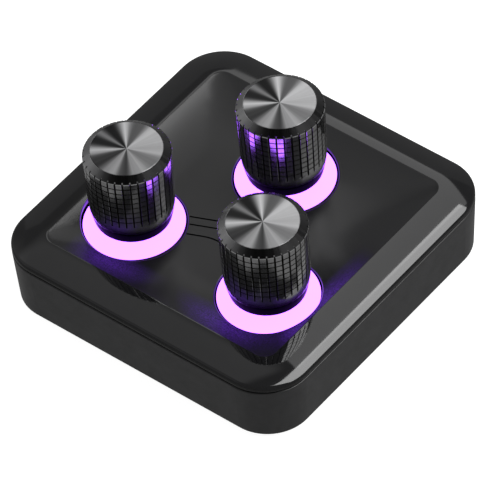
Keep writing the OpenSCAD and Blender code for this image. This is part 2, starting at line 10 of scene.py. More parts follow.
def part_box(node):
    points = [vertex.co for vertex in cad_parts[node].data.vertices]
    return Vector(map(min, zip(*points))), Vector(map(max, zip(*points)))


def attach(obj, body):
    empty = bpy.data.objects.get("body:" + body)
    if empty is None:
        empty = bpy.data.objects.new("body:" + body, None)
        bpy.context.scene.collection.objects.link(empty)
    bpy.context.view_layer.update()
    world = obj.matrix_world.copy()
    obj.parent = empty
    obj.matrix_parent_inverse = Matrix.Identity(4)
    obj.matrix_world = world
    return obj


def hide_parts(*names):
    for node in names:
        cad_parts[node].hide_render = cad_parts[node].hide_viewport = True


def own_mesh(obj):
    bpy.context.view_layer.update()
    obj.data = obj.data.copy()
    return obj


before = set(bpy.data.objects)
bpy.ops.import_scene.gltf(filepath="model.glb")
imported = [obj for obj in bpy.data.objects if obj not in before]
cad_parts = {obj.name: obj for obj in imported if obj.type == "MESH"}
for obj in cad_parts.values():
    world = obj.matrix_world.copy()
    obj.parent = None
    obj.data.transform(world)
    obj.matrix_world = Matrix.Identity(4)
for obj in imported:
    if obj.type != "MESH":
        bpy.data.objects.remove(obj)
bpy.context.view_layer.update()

# Sizes below are millimetres in the row frame: +Z up, the origin under the middle of the case.
MM = 0.001


# ---- Places and sizes that the frame gives ----

def box_mm(node):
    """Lowest and highest corner of a CAD node, in millimetres."""
    low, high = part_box(node)
    return np.array(low) / MM, np.array(high) / MM


KNOBS = ("left", "right", "back")
PLACE = {}
for knob in KNOBS:
    face_low, face_high = box_mm("knob_face_" + knob)
    PLACE[knob] = (face_low[:2] + face_high[:2]) / 2

cover_low, cover_high = box_mm("top_cover")
HALF_CASE = cover_high[0]
Z_CREST = cover_high[2]
Z_POST = cover_low[2]
ring_low, ring_high = box_mm("light_ring_back")
Z_RING_UNDER = ring_low[2]
Z_RING = ring_high[2]
FLANGE_R = (ring_high[0] - ring_low[0]) / 2
shell_low, shell_high = box_mm("knob_shell_back")
Z_KNOB = shell_low[2]
Z_LAND = shell_high[2]
KNOB_R = (shell_high[0] - shell_low[0]) / 2
face_low, face_high = box_mm("knob_face_back")
Z_FACE_UNDER = face_low[2]
Z_KNOB_TOP = face_high[2]
FACE_R = (face_high[0] - face_low[0]) / 2
_, core_high = box_mm("knob_core_back")
Z_CORE_TOP = core_high[2]
foot_low, foot_high = box_mm("foot_front_right")
POST_XY = (foot_low[0] + foot_high[0]) / 2

# The cover, as in the CAD source
CORNER_AXIS = 24.45      # the corners' axes stand this far from the middle, along X and Y
RIM_W = 6.95             # from the case's side to the crest
RIM_H = 2.2              # from the cover's lower edge to the crest
RIM_FALL = 0.85          # from the crest down to the round edge
RIM_EDGE_R = 0.8
DISH_DEPTH = 1.7
DISH_SLOPE_W = 11.0
DISH_CORNER_GROWTH = 0.6
COVER_T = 2.0
LIP_HALF = 32.0
LIP_T = 1.0
LIP_H = 1.1
POST_R = 3.4
RING_R = 9.8
RING_GAP = 0.3
LINE_W = 0.34
LINE_DEPTH = 0.25
LINE_PITCH = 1.9
FRONT_LINE_PITCH = 2.5
ARM_ANGLE = math.radians(22.5)
SIDE_BEND_R = 1.6
FRONT_BEND_R = 8.0
Z_DISH = Z_CREST - DISH_DEPTH
Z_PLATE = Z_DISH - COVER_T
Z_COVER = Z_CREST - RIM_H
HALF_CREST = HALF_CASE - RIM_W
CREST_CORNER_R = HALF_CREST - CORNER_AXIS

# What only the looks need
CREST_BLEND = 0.06       # height over which the crest is rounded
COVER_EDGE_R = 0.15      # rounding of the cover's lower edge
HOLE_EDGE_R = 0.28       # rounding of the edges round the rings
HOLE_OUTER_R = RING_R + RING_GAP + HOLE_EDGE_R
LINE_START = 0.08        # how far outside a hole's edge an engraved line starts
CORNER_COLUMNS = 20      # columns of faces round one corner of the case
SIDE_COLUMNS = 24        # columns of faces along one side
HOLE_COLUMNS = 144
POST_COLUMNS = 48
DOME_COLUMNS = 64
LATHE_COLUMNS = 128
HOLE_EDGE_STEPS = 5
COVER_EDGE_STEPS = 4
RIM_EDGE_STEPS = 14
BEND_STEPS = 12
SLOPE = 0.01             # step over which the cover's slope is taken

# The light rings
RING_HOLE_R = 4.1
RING_FLANGE_T = 1.0
LED_R = 8.75             # radius of the part that hangs over the LEDs
RING_EDGE = 0.15
RING_EDGE_MIDDLE = 0.3 * RING_EDGE
RING_LIT_H = 0.3
RING_DARK_EDGE = 0.05    # the ring glows above this depth only

# The knob
WAIST_R = 8.25
FOOT_R = 7.4
SKIRT_CURVE = 1.8        # power of the skirt's curve from the waist in to the foot
GRID_H = 11.1            # height of the side's part that is cut into pads
Z_CROWN = Z_KNOB_TOP - 1.1
Z_WAIST = Z_CROWN - GRID_H
LAND_R = FACE_R + 0.1
RECESS_R = FACE_R + 0.025
RECESS_EDGE = 0.03
FACE_CHAMFER = 0.06
CORE_R = 5.5
CORE_CHAMFER = 0.15
FOOT_EDGE = 0.12         # size of the foot's broken edge
FOOT_BEND = 0.03         # the place of its middle, from the foot's side and underside
AXIS_R = 0.01            # radius of the innermost loops, which a tip closes
SKIRT_STEPS = 22
BEVEL_STEPS = 6
COLUMN_COUNT = 36
ROW_COUNT = 8
ROW_PITCH = 1.31
FLUTE_HALF_W = 0.14
FLUTE_DEPTH = 0.33
ROW_HALF_W = 0.1
ROW_DEPTH = 0.14
PAD_EDGE = 0.05          # width of the broken edge along a flute
ROW_EDGE = 0.02          # width of the broken edge along a row
PAD_FLATNESS = 0.85      # 0 is a pad as round as the knob, 1 is a flat one
CROWN_BREAK = 0.13       # height of the broken edge between the pads and the bevel
FLUTE_RUNOUT = 0.8       # how far the flutes run on below the pads
FLUTE_TURN = math.radians(2.8)   # how far the flutes stand from the knob's axes
FOOT_LOW = Z_KNOB + 2.7          # below this height the knob is painted dull black, as shade
FOOT_HIGH = Z_KNOB + 5           # from this height on it is as metallic as its pads; below it the painted shade sets in
GROOVE_TELL = 0.04       # a face that lies deeper than this is in a flute or a row's groove, and is painted dark as shade

# The snap dome
DOME_T = 0.1
DOME_UNDER_STEPS = 12
DOME_TOP_STEPS = 14


# ---- Mesh helpers ----

class Shell:
    """Vertices and faces of one closed piece, in millimetres."""

    def __init__(self):
        self.verts = []
        self.faces = []

    def add(self, points):
        start = len(self.verts)
        self.verts.extend(tuple(float(c) for c in p) for p in points)
        return list(range(start, len(self.verts)))

    def band(self, first, second):
        """Quads between two closed loops of as many vertices."""
        count = len(first)
        for i in range(count):
            j = (i + 1) % count
            self.faces.append((first[i], first[j], second[j], second[i]))

    def cap(self, loop, centre):
        tip = self.add([centre])[0]
        for i, v in enumerate(loop):
            self.faces.append((v, loop[(i + 1) % len(loop)], tip))

    def patch(self, outer, holes, points, height, outlines=()):
        """Triangles inside the outer loop and outside the holes, (loop, middle, radius) each.
        Returns the triangles and, for each, whether it lies in one of the outlines."""
        loops = [outer] + [hole[0] for hole in holes]
        known = [v for loop in loops for v in loop]
        flat = [Vector(self.verts[v][:2]) for v in known]
        edges = []
        start = 0
        for loop in loops:
            edges += [(start + i, start + (i + 1) % len(loop)) for i in range(len(loop))]
            start += len(loop)
        for line in outlines:
            edges += [(start + i, start + (i + 1) % len(line)) for i in range(len(line))]
            flat += [Vector(p) for p in line]
            start += len(line)
        flat += [Vector(p) for p in points]
        made, _, triangles, origin, _, _ = delaunay_2d_cdt(flat, edges, [], 0, 1e-6)
        index = []
        for place, sources in zip(made, origin):
            old = [s for s in sources if s < len(known)]
            if old:
                index.append(known[old[0]])
            else:
                index += self.add([(place.x, place.y, height(place.x, place.y))])
        middles = np.array([sum((made[i] for i in t), Vector((0, 0))) / 3 for t in triangles])
        keep = np.ones(len(triangles), bool)
        for loop, middle, radius in holes:
            reach = radius * math.cos(math.pi / len(loop)) * 0.9999
            keep &= np.hypot(*(middles - middle).T) > reach
        marked = np.zeros(len(triangles), bool)
        for line in outlines:
            marked |= inside(middles, line)
        return ([tuple(index[i] for i in t) for t, k in zip(triangles, keep) if k], marked[keep])

    def piece(self, name, sharp=35):
        """The finished object, in metres, smooth except over edges sharper than the angle."""
        mesh = bpy.data.meshes.new(name)
        mesh.from_pydata([tuple(c * MM for c in v) for v in self.verts], [], self.faces)
        shape = bmesh.new()
        shape.from_mesh(mesh)
        bmesh.ops.recalc_face_normals(shape, faces=shape.faces)
        limit = math.radians(sharp)
        for edge in shape.edges:
            edge.smooth = edge.is_manifold and edge.calc_face_angle(0) < limit
        for face in shape.faces:
            face.smooth = True
        shape.to_mesh(mesh)
        shape.free()
        made = bpy.data.objects.new(name, mesh)
        bpy.context.scene.collection.objects.link(made)
        return made


def even_shading(piece):
    """Keeps large faces flat, so that only the narrow ones at their edges look round."""
    even = piece.modifiers.new("even_shading", "WEIGHTED_NORMAL")
    even.keep_sharp = True
    return piece


def inside(points, line):
    """Whether each point lies inside a closed outline, by counting crossings."""
    x, y = points.T
    crossed = np.zeros(len(points), bool)
    ends = np.roll(np.array(line), -1, axis=0)
    for (x0, y0), (x1, y1) in zip(line, ends):
        if y0 == y1:
            continue
        spans = (y0 > y) != (y1 > y)
        crossed ^= spans & (x < x0 + (y - y0) * (x1 - x0) / (y1 - y0))
    return crossed


def circle(radius, z, middle=(0, 0), count=HOLE_COLUMNS):
    """Places round a level circle."""
    return [(middle[0] + radius * math.cos(a), middle[1] + radius * math.sin(a), z)
            for a in np.arange(count) * math.tau / count]


def lathe(name, outline, middle, count=LATHE_COLUMNS):
    """A turned piece. The outline is (radius, height) from the axis round to the axis, or a closed ring."""
    shell = Shell()
    loops = [shell.add(circle(r, z, middle, count)) for r, z in outline if r > 0]
    for first, second in zip(loops, loops[1:]):
        shell.band(first, second)
    if outline[0][0] == 0:
        shell.cap(loops[0], (*middle, outline[0][1]))
        shell.cap(loops[-1], (*middle, outline[-1][1]))
    else:
        shell.band(loops[-1], loops[0])
    return even_shading(shell.piece(name))


def from_axis(middle, knob):
    """How far a place lies from a knob's axis."""
    return math.hypot(*(middle.xy - Vector(PLACE[knob])))


def dress(piece, body, slot, material, *nodes):
    """Places a finished piece in the model, in place of its CAD nodes."""
    piece.data.materials.append(material)
    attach(piece, body)
    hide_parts(*nodes)
    return piece


# ---- Materials ----

def principled(name, color, roughness, metallic=0.0, **sockets):
    """A material with one Principled shader, and the constants that go straight on its sockets."""
    made = bpy.data.materials.new(name)
    made.use_nodes = True
    shader = made.node_tree.nodes["Principled BSDF"]
    shader.inputs["Base Color"].default_value = (*color, 1)
    shader.inputs["Roughness"].default_value = roughness
    shader.inputs["Metallic"].default_value = metallic
    for label, value in sockets.items():
        shader.inputs[label.replace("_", " ")].default_value = value
    return made, made.node_tree, shader


def noise(tree, scale, detail=4.0):
    """Noise in the object's own space; the scale is in waves per metre."""
    place = tree.nodes.new("ShaderNodeTexCoord")
    texture = tree.nodes.new("ShaderNodeTexNoise")
    texture.inputs["Scale"].default_value = scale
    texture.inputs["Detail"].default_value = detail
    tree.links.new(place.outputs["Object"], texture.inputs["Vector"])
    return texture.outputs["Fac"]


def fine_noise(tree, scale):
    return noise(tree, scale, 2)


def calculate(tree, kind, operation, *values):
    """A Math or VectorMath node; each value is a constant or another node's output."""
    node = tree.nodes.new("ShaderNode" + kind)
    node.operation = operation
    for socket, value in zip(node.inputs, values):
        if isinstance(value, bpy.types.NodeSocket):
            tree.links.new(value, socket)
        else:
            socket.default_value = value
    return node.outputs


def spread(tree, value, low, high, start=0.3, end=0.7):
    """Maps a noise's middle range to low .. high."""
    node = tree.nodes.new("ShaderNodeMapRange")
    node.inputs["From Min"].default_value = start
    node.inputs["From Max"].default_value = end
    node.inputs["To Min"].default_value = low
    node.inputs["To Max"].default_value = high
    tree.links.new(value, node.inputs["Value"])
    return node.outputs["Result"]


def tint(tree, shader, value, dark, light):
    """Varies the base colour between two colours."""
    mix = tree.nodes.new("ShaderNodeMix")
    mix.data_type = "RGBA"
    mix.inputs["A"].default_value = (*dark, 1)
    mix.inputs["B"].default_value = (*light, 1)
    tree.links.new(value, mix.inputs["Factor"])
    tree.links.new(mix.outputs["Result"], shader.inputs["Base Color"])


def grain(tree, shader, value, depth_mm):
    """Bump of a given depth."""
    bump = tree.nodes.new("ShaderNodeBump")
    bump.inputs["Distance"].default_value = depth_mm * MM
    tree.links.new(value, bump.inputs["Height"])
    tree.links.new(bump.outputs["Normal"], shader.inputs["Normal"])


COLOR_VARIES = 0.15      # share by which a plain surface's colour varies
GLOSS_VARIES = 0.12      # share by which its roughness varies
COARSE, FINE = 0.3, 5    # scale of its roughness and of its grain against that of its colour


def plain(name, color, roughness, metallic=0.0, scale=900, depth_mm=0.002, **sockets):
    """A moulded, cast or plated surface: slightly uneven colour and roughness, and a fine grain."""
    made, tree, shader = principled(name, color, roughness, metallic, **sockets)
    dark = [c * (1 - COLOR_VARIES) for c in color]
    light = [min(1, c * (1 + COLOR_VARIES)) for c in color]
    tint(tree, shader, spread(tree, noise(tree, scale), 0, 1), dark, light)
    rough = spread(tree, noise(tree, scale * COARSE), roughness * (1 - GLOSS_VARIES),
                   min(1, roughness * (1 + GLOSS_VARIES)))
    tree.links.new(rough, shader.inputs["Roughness"])
    grain(tree, shader, fine_noise(tree, scale * FINE), depth_mm)
    return made


TURNED = {"scale": 1500, "depth_mm": 0.0006}     # the grain of turned metal
DULL_IOR = 1.03          # a surface that mirrors next to nothing
METAL_EDGE = 0.1         # height over which the painted dull black turns to metal


def painted_foot_shade(name, color, roughness, low, high):
    """Turned metal with painted shade: its colour darkens from the height high to low, with dull black below.
    """
    made, tree, shader = principled(name, color, roughness, IOR=DULL_IOR)
    place = tree.nodes.new("ShaderNodeTexCoord")
    parts = tree.nodes.new("ShaderNodeSeparateXYZ")
    tree.links.new(place.outputs["Object"], parts.inputs["Vector"])
    height = spread(tree, parts.outputs["Z"], 0, 1, low * MM, high * MM)
    height.node.interpolation_type = "SMOOTHSTEP"
    tint(tree, shader, height, (0, 0, 0), color)
    metal = spread(tree, parts.outputs["Z"], 0, 1, (low - METAL_EDGE) * MM, low * MM)
    tree.links.new(metal, shader.inputs["Metallic"])
    grain(tree, shader, fine_noise(tree, TURNED["scale"] * FINE), TURNED["depth_mm"])
    return made


LEVEL = (1, 1, 0)        # leaves out the height of a place
STREAK_LIGHT = (0.88, 1.06)      # share of the colour, and of the roughness, in the streaks
STREAK_GLOSS = (0.88, 1.18)


def spun(name, color, painted_rays, roughness):
    """Metal turned on a lathe: fine streaks, and dark rays of painted reflection in its colour that fan out
    from the middle.
    """
    made, tree, shader = principled(name, color, roughness, 1.0, Anisotropic=0.5)
    place = tree.nodes.new("ShaderNodeTexCoord").outputs["Generated"]
    centred = calculate(tree, "VectorMath", "SUBTRACT", place, (0.5, 0.5, 0.5))["Vector"]
    flat = calculate(tree, "VectorMath", "MULTIPLY", centred, LEVEL)["Vector"]
    away = calculate(tree, "VectorMath", "NORMALIZE", flat)["Vector"]
    streaks = tree.nodes.new("ShaderNodeTexNoise")
    streaks.inputs["Scale"].default_value = 9
    streaks.inputs["Detail"].default_value = 6
    tree.links.new(away, streaks.inputs["Vector"])
    light = spread(tree, streaks.outputs["Fac"], *STREAK_LIGHT)
    # each ray darkens the colour where the reflection of the lights is dark: painted reflection
    for angle, reach, darkness in painted_rays:
        way = (math.cos(math.radians(angle)), math.sin(math.radians(angle)), 0)
        toward = calculate(tree, "VectorMath", "DOT_PRODUCT", away, way)["Value"]
        ray = spread(tree, toward, 1, 1 - darkness, math.cos(math.radians(reach)), 1)
        ray.node.interpolation_type = "SMOOTHSTEP"
        light = calculate(tree, "Math", "MULTIPLY", light, ray)["Value"]
    tint(tree, shader, light, (0, 0, 0), color)
    turned = tree.nodes.new("ShaderNodeTangent")
    turned.direction_type = "RADIAL"
    turned.axis = "Z"
    tree.links.new(turned.outputs["Tangent"], shader.inputs["Tangent"])
    rough = spread(tree, streaks.outputs["Fac"], *(roughness * share for share in STREAK_GLOSS))
    tree.links.new(rough, shader.inputs["Roughness"])
    return made


# The rings' light, painted on the dish as a violet glow
BLOOM_COLOR = (0.25, 0.06, 1.0)
BLOOM_STRENGTH = 0.22
BLOOM_FADE = 1.5         # power with which it fades away from a ring
BLOOM_START = 0.2        # how far outside a ring it starts to fade
BLOOM_REACH = 8.0        # how far it reaches from a ring
BLOOM_REACH_ALONG = 12.0         # how far it reaches along the right crest
BLOOM_RISE = (0.25, 0.95)        # heights above the dish's floor between which it sets in
BLOOM_BY_CREST = (-1.0, -0.2)    # the same on the right slope, from the crest's height
BLOOM_FRONT_Y = (-7, -2)         # where the front slope's part ends, from the right ring's middle
BLOOM_FRONT_X = (0, 7)           # where it weakens
BLOOM_FRONT_END = 0.3            # to which share it weakens
BLOOM_RIGHT_Y = (-11, -6)        # where the right slope's part sets in
BLOOM_LEFT_X = (-6.5, 1)         # where all of it sets in, from the left ring's middle
BLOOM_GRAIN = (0.2, 1.8)


def dish_with_painted_glow(name, color, roughness):
    """Gloss plastic with the rings' light painted as a fine violet glow on the slopes that rise beside them.
    """
    made, tree, shader = principled(name, color, roughness, Emission_Color=(*BLOOM_COLOR, 1),
                                    Specular_IOR_Level=0.15, Coat_Weight=0.55, Coat_Roughness=0.25)
    grain(tree, shader, fine_noise(tree, 2000), 0.0003)
    place = tree.nodes.new("ShaderNodeTexCoord").outputs["Object"]
    split = tree.nodes.new("ShaderNodeSeparateXYZ")
    tree.links.new(place, split.inputs["Vector"])

    def product(*values):
        """All the values multiplied."""
        result = values[0]
        for value in values[1:]:
            result = calculate(tree, "Math", "MULTIPLY", result, value)["Value"]
        return result

    def across(axis, origin, reach, first=0, last=1):
        """Goes from first to last over a reach along an axis."""
        return spread(tree, split.outputs[axis], first, last,
                      (origin + reach[0]) * MM, (origin + reach[1]) * MM)

    flat = calculate(tree, "VectorMath", "MULTIPLY", place, LEVEL)["Vector"]
    left, right = PLACE["left"], PLACE["right"]
    distances = [calculate(tree, "VectorMath", "DISTANCE", flat, (x * MM, y * MM, 0))["Value"]
                 for x, y in (left, right)]
    nearest = calculate(tree, "Math", "MINIMUM", *distances)["Value"]

    def fading(reach):
        near = spread(tree, nearest, 1, 0, (RING_R + BLOOM_START) * MM, (RING_R + reach) * MM)
        return calculate(tree, "Math", "POWER", near, BLOOM_FADE)["Value"]

    # on the front slope it follows the rings, and on the right one it clings to the crest
    on_front = product(fading(BLOOM_REACH), across("Z", Z_DISH, BLOOM_RISE),
                       across("Y", right[1], BLOOM_FRONT_Y, 1, 0),
                       across("X", right[0], BLOOM_FRONT_X, 1, BLOOM_FRONT_END))
    on_right = product(fading(BLOOM_REACH_ALONG), across("Z", Z_CREST, BLOOM_BY_CREST),
                       across("Y", right[1], BLOOM_RIGHT_Y))
    bloom = calculate(tree, "Math", "MAXIMUM", on_front, on_right)["Value"]
    grainy = spread(tree, fine_noise(tree, 4000), *BLOOM_GRAIN)
    tree.links.new(product(bloom, across("X", left[0], BLOOM_LEFT_X), grainy, BLOOM_STRENGTH),
                   shader.inputs["Emission Strength"])
    return made


# The spun faces' painted reflection, as dark rays in their colour: (angle from +X and half width in degrees,
# darkness)
PAINTED_REFLECTION_RAYS = ((0, 26, 0.65), (72, 70, 0.3), (108, 24, 0.8), (158, 26, 0.97), (195, 24, 0.96), (246, 28, 0.93),
        (272, 26, 0.6), (303, 18, 0.86), (320, 26, 0.5))
# The same painted reflection for the knobs' bevels
BEVEL_PAINTED_REFLECTION_RAYS = ((312, 75, 0.97), (5, 45, 0.95), (70, 60, 0.75), (150, 40, 0.9), (120, 40, 0.6))
GLOSS_BLACK = (0.003, 0.003, 0.0035)
BLACK_METAL = (0.45, 0.45, 0.452)
BLACK_METAL_ROUGHNESS = 0.14

TRAY = plain("tray_plastic", (0.016, 0.016, 0.0165), 0.36, scale=700, depth_mm=0.004, Specular_IOR_Level=0.4)
COVER = plain("cover_plastic", GLOSS_BLACK, 0.06, scale=400, depth_mm=0.0003)
COVER_SIDE = plain("cover_side", (0.006, 0.006, 0.006), 0.25, scale=400, Specular_IOR_Level=0.3)
# painted glow: the rings' light painted on the holes' rounded edges as a faint violet emission
HOLE_EDGE = plain("hole_edge_painted_glow", GLOSS_BLACK, 0.2, Emission_Color=(0.3, 0.1, 1, 1), Emission_Strength=0.22)
GROOVE = plain("engraved_line", (0.002, 0.002, 0.002), 0.6, Specular_IOR_Level=0.02)
DISH = dish_with_painted_glow("cover_dish_painted_glow", GLOSS_BLACK, 0.42)
PADS = plain("black_anodised", BLACK_METAL, BLACK_METAL_ROUGHNESS, 1.0, **TURNED)
FOOT = painted_foot_shade("knob_foot_painted_shade", BLACK_METAL, BLACK_METAL_ROUGHNESS, FOOT_LOW, FOOT_HIGH)
# painted shade: the flutes and the rows' grooves are coloured near black
GROOVE_SHADE = plain("knob_groove_painted_shade", (0.008, 0.008, 0.0066), 0.15, IOR=DULL_IOR, **TURNED)
CROWN_EDGE = plain("cut_edge", (0.6, 0.6, 0.605), 0.25, 1.0, **TURNED)
CORE = plain("knob_core_plastic", (0.03, 0.03, 0.032), 0.5)
HOUSING = plain("housing_plastic", (0.03, 0.03, 0.035), 0.45)
ZINC = plain("cast_zinc", (0.55, 0.55, 0.56), 0.38, 1.0, depth_mm=0.006)
PIN = plain("tinned_pins", (0.72, 0.6, 0.36), 0.3, 1.0)
ROTOR = plain("rotor_plastic", (0.75, 0.75, 0.7), 0.5)
SHAFT = plain("shaft_metal", (0.72, 0.72, 0.74), 0.28, 1.0)
SPRING = plain("spring_metal", (0.6, 0.6, 0.6), 0.25, 1.0)
BOARD = plain("board_laminate", (0.015, 0.07, 0.045), 0.4, scale=500)
CHIP = plain("chip_epoxy", (0.025, 0.025, 0.028), 0.55)
CAN = plain("can_metal", (0.68, 0.68, 0.68), 0.25, 1.0, scale=1200)
TONGUE = plain("tongue_plastic", (0.03, 0.03, 0.032), 0.5)
SCREW = plain("screw_steel", (0.5, 0.5, 0.52), 0.3, 1.0)
RUBBER = plain("foot_rubber", (0.03, 0.03, 0.03), 0.8, scale=1500, depth_mm=0.01)
LED = plain("led_package", (0.9, 0.9, 0.86), 0.4)
# the faces and the bevels carry painted reflection: dark rays in their colour
FACE = spun("spun_face_painted_reflection", (0.61, 0.61, 0.62), PAINTED_REFLECTION_RAYS, 0.32)
BEVEL = spun("turned_bevel_painted_reflection", (0.3, 0.3, 0.305), BEVEL_PAINTED_REFLECTION_RAYS, 0.25)
GLOW = plain("ring_diffuser", (0.1, 0.02, 0.1), 0.4, Specular_IOR_Level=0.1, Emission_Color=(0.34, 0.11, 1, 1),
             Emission_Strength=5.3)
UNLIT = plain("ring_unlit", (0.05, 0.03, 0.05), 0.5, Specular_IOR_Level=0.2)


# ---- Cover ----

def depth_in(x, y):
    """How far inside the crest a place lies (positive), or outside it (negative)."""
    ax, ay = np.abs(x), np.abs(y)
    px, py = ax - CORNER_AXIS, ay - CORNER_AXIS
    outside = np.where((px > 0) & (py > 0), np.hypot(px, py), np.maximum(px, py)) - CREST_CORNER_R
    along = HALF_CREST - np.maximum(ax, ay)
    # inside the crest the corners' radius grows, so their axes move in faster than the sides
    growth = DISH_CORNER_GROWTH
    axis_speed = 1 + growth
    in_corner = np.minimum(ax, ay) > CORNER_AXIS - axis_speed * along
    a = 2 * axis_speed ** 2 - growth ** 2
    b = 2 * axis_speed * (px + py) - 2 * growth * CREST_CORNER_R
    c = px ** 2 + py ** 2 - CREST_CORNER_R ** 2
    corner = (-b + np.sqrt(np.maximum(b * b - 4 * a * c, 0))) / (2 * a)
    deep = np.where(in_corner, corner, along)
    return np.where(outside > 0, -outside, deep)


PILLOW_RUN = RIM_W - RIM_EDGE_R
PILLOW_R = (PILLOW_RUN ** 2 + RIM_FALL ** 2) / (2 * RIM_FALL)


def cover_height(x, y):
    """Height of the cover's upper surface: pillow, rounded crest and dish."""
    deep = depth_in(x, y)
    out = np.maximum(-deep, 0)
    pillow = Z_CREST - PILLOW_R + np.sqrt(PILLOW_R ** 2 - np.minimum(out, PILLOW_RUN) ** 2)
    dish = Z_DISH + DISH_DEPTH * np.maximum(1 - deep / DISH_SLOPE_W, 0) ** 2
    apart = np.maximum(CREST_BLEND - np.abs(pillow - dish), 0) / CREST_BLEND
    return np.minimum(pillow, dish) - apart ** 2 * CREST_BLEND / 4


def cover_normal(x, y):
    """Normals of the cover's upper surface."""
    dx = (cover_height(x + SLOPE, y) - cover_height(x - SLOPE, y)) / (2 * SLOPE)
    dy = (cover_height(x, y + SLOPE) - cover_height(x, y - SLOPE)) / (2 * SLOPE)
    normal = np.stack([-dx, -dy, np.ones_like(dx)], axis=-1)
    return normal / np.linalg.norm(normal, axis=-1, keepdims=True)


def square_loop(half):
    """Places round a square whose round corners have their axes at CORNER_AXIS."""
    radius = half - CORNER_AXIS
    places = []
    for turn in range(4):
        c, s = round(math.cos(turn * math.pi / 2)), round(math.sin(turn * math.pi / 2))
        side = [(half, CORNER_AXIS * (2 * i / SIDE_COLUMNS - 1)) for i in range(SIDE_COLUMNS)]
        arc = [(CORNER_AXIS + radius * math.cos(a), CORNER_AXIS + radius * math.sin(a))
               for a in np.linspace(0, math.pi / 2, CORNER_COLUMNS, endpoint=False)]
        places += [(c * x - s * y, s * x + c * y) for x, y in side + arc]
    return places


def bend(start, corner, end, radius):
    """Outline of an engraved line from start, round a bend at the corner, and on to the end."""
    start, corner, end = (np.array(p, float) for p in (start, corner, end))
    u = (start - corner) / np.linalg.norm(start - corner)
    v = (end - corner) / np.linalg.norm(end - corner)
    half_angle = math.acos(u @ v) / 2
    middle = corner + (u + v) / np.linalg.norm(u + v) * radius / math.sin(half_angle)
    n0 = (corner + u * radius / math.tan(half_angle) - middle) / radius
    n1 = (corner + v * radius / math.tan(half_angle) - middle) / radius
    a0 = math.atan2(n0[1], n0[0])
    turn = math.copysign(math.pi - 2 * half_angle, n0[0] * n1[1] - n0[1] * n1[0])
    angles = a0 + turn * np.arange(BEND_STEPS + 1) / BEND_STEPS
    around = np.stack([np.cos(angles), np.sin(angles)], axis=1)
    w = LINE_W / 2
    far = [start + w * n0, *(middle + (radius + w) * around), end + w * n1]
    near = [start - w * n0, *(middle + (radius - w) * around), end - w * n1]
    return [tuple(p) for p in far + near[::-1]]


def straight(start, end):
    """Outline of a straight engraved line."""
    start, end = np.array(start, float), np.array(end, float)
    along = (end - start) / np.linalg.norm(end - start)
    across = np.array([-along[1], along[0]]) * LINE_W / 2
    return [tuple(p) for p in (start + across, end + across, end - across, start - across)]


def leave_ring(place, target, middle):
    """The point on the way from place to target that is just outside a ring's hole."""
    place, target = np.array(place, float), np.array(target, float)
    along = (target - place) / np.linalg.norm(target - place)
    offset = place - middle
    reach = HOLE_OUTER_R + LINE_START
    b = offset @ along
    return place + along * (-b + math.sqrt(b * b - offset @ offset + reach ** 2))


def engraved_outlines():
    """The lines between the knobs: the middle ones meet, the outer ones bend round to the next knob."""
    right, back = PLACE["right"], PLACE["back"]
    hub = np.array([0, (2 * right[1] + back[1]) / 3])
    along = np.array([math.cos(ARM_ANGLE), math.sin(ARM_ANGLE)])
    across = np.array([-along[1], along[0]])
    start = hub - along * (right[0] / along[0] - RING_R / 2)
    outlines = []
    for side in (1, -1):
        mirror = np.array([side, 1])
        back_side = start + LINE_PITCH * across
        corner = np.array([-LINE_PITCH, back_side[1] + (-LINE_PITCH - back_side[0]) * math.tan(ARM_ANGLE)])
        top = np.array([-LINE_PITCH, back[1] - RING_R / 2])
        left = PLACE["left"]
        outlines.append(straight(mirror * leave_ring(start, hub, left), hub))
        outlines.append(bend(mirror * leave_ring(back_side, corner, left), mirror * corner,
                             mirror * leave_ring(top, corner, back), SIDE_BEND_R))
    front_side = start - FRONT_LINE_PITCH * across
    front_corner = np.array([0, front_side[1] - front_side[0] * math.tan(ARM_ANGLE)])
    front_start = leave_ring(front_side, front_corner, PLACE["left"])
    outlines.append(bend(front_start, front_corner, front_start * (-1, 1), FRONT_BEND_R))
    outlines.append(straight(leave_ring((0, back[1] - RING_R / 2), hub, back), hub))
    return outlines


# Places of the dish's vertices
SLOPE_START = 0.9        # from the crest to the first ones
SLOPE_PITCH = 0.55
FLOOR_PITCH = 1.2
CLEARANCE = 0.3          # from holes and lines
CROWD = 0.35             # a place nearer than this to one of the last ones is left out
CROWD_LOOK = 260         # how many of the last ones are looked at


def dish_points(holes, outlines):
    """Places between the crest and the middle that carry the dish's shape, clear of holes and lines."""
    places = []
    reach = np.linspace(0.3, 1, 400)
    for deep in np.arange(SLOPE_START, DISH_SLOPE_W + 1, SLOPE_PITCH):
        for x, y in square_loop(HALF_CREST):
            # moves a place on the crest straight in, until it lies that deep
            found = np.interp(-deep, -depth_in(x * reach, y * reach), reach)
            places.append((x * found, y * found))
    floor = HALF_CREST - DISH_SLOPE_W - 1
    grid = np.arange(-floor, floor + 0.1, FLOOR_PITCH)
    places += [(x, y) for x in grid for y in grid if depth_in(x, y) > DISH_SLOPE_W + FLOOR_PITCH / 2]
    places = np.array(places)
    clear = np.ones(len(places), bool)
    for _, middle, radius in holes:
        clear &= np.hypot(*(places - middle).T) > radius + CLEARANCE
    for line in outlines:
        line = np.array(line)
        for a, b in zip(line, np.roll(line, -1, axis=0)):
            t = np.clip((places - a) @ (b - a) / ((b - a) @ (b - a)), 0, 1)
            clear &= np.hypot(*(places - a - t[:, None] * (b - a)).T) > CLEARANCE
        clear &= ~inside(places, line)
    # thins out places that crowd together near the corners
    kept = []
    for place in places[clear]:
        if all(abs(place[0] - x) > CROWD or abs(place[1] - y) > CROWD for x, y in kept[-CROWD_LOOK:]):
            kept.append(tuple(place))
    return kept


